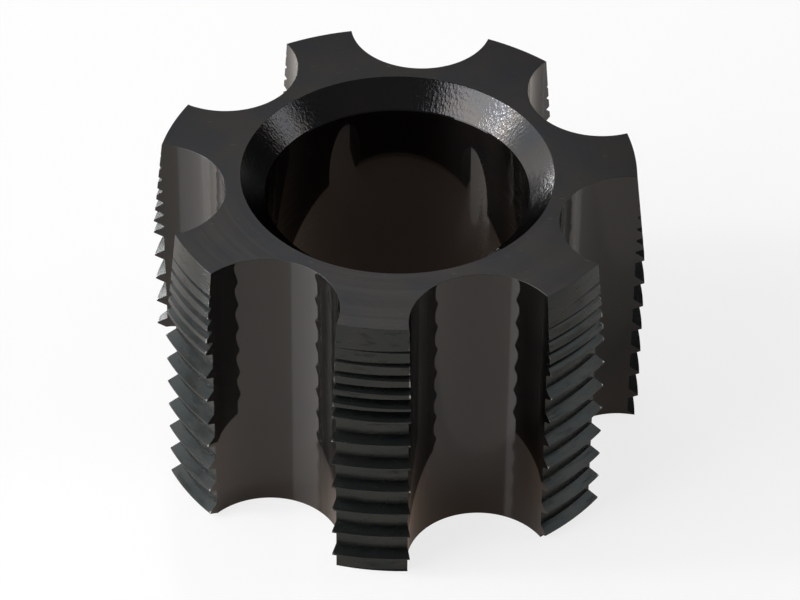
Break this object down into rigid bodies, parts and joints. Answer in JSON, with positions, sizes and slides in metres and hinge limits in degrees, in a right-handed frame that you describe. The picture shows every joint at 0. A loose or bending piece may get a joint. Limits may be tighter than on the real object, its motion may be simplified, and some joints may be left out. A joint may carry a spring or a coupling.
{
  "type": "bottom bracket tap",
  "caption": "Fluted ring tap with an interrupted right-hand thread and a tapered lead, slid onto a handle's shaft to cut or clean the thread in a bicycle's bottom bracket shell.",
  "frame": {"origin": "on the bore's axis at the plain end, which the tap stands on", "axes": "+Z along the bore from the plain end to the tapered lead end, -Y through the middle of one land"},
  "size_m": [0.0348, 0.0341, 0.022],
  "materials": {
    "blackened_steel": "hardened steel, ground and blackened with an oiled black oxide"
  },
  "bodies": {
    "root": {"bottom_bracket_tap": "blackened_steel"}
  },
  "joints": []
}
